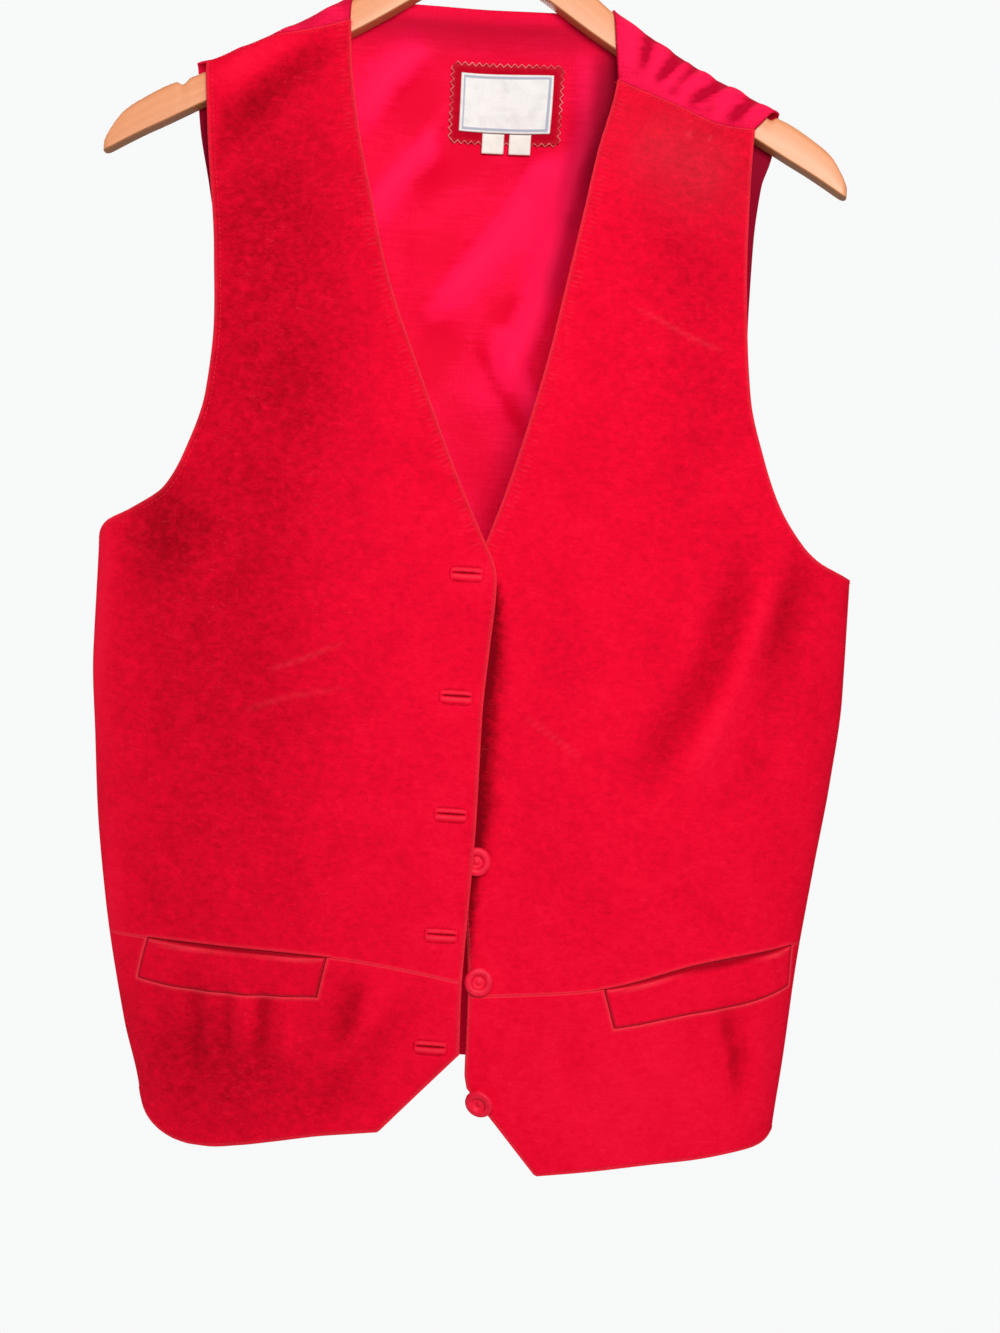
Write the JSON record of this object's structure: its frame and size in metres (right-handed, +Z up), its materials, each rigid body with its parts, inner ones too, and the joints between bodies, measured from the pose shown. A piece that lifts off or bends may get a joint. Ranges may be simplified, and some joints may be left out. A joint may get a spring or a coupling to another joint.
{
  "type": "suede vest on a wooden hanger",
  "caption": "Waist-length suede vest with a V neck, bound buttonholes, welt pockets and a satin back, hung open on a flat wooden hanger with a wire hook.",
  "frame": {"origin": "inside top of the wire hook, where it bears on the rail or peg that holds it up", "axes": "+Z up along the hook's stem, -Y out of the garment's front, +X to the wearer's left"},
  "size_m": [0.4631, 0.0874, 0.8151],
  "materials": {
    "suede": "napped suede, matt",
    "suede_dark": "napped suede, matt",
    "satin": "satin weave with a soft shine",
    "button": "polished",
    "tape": "woven tape, matt",
    "wood": "clear satin lacquer",
    "steel": "plated wire"
  },
  "bodies": {
    "root": {"front_right_upper": "suede", "front_right_lower": "suede", "front_left_upper": "suede", "front_left_lower": "suede", "pocket_welt_right": "suede", "pocket_welt_left": "suede", "buttonhole_1": "suede", "buttonhole_2": "suede", "buttonhole_3": "suede", "buttonhole_4": "suede", "buttonhole_5": "suede", "button_1": "button", "button_2": "button", "button_3": "button", "button_4": "button", "button_5": "button", "back": "satin", "back_lining": "satin", "label_patch": "suede_dark", "label": "tape", "size_tag": "tape", "care_tag": "tape", "hanger": "wood", "hook": "steel"}
  },
  "joints": []
}
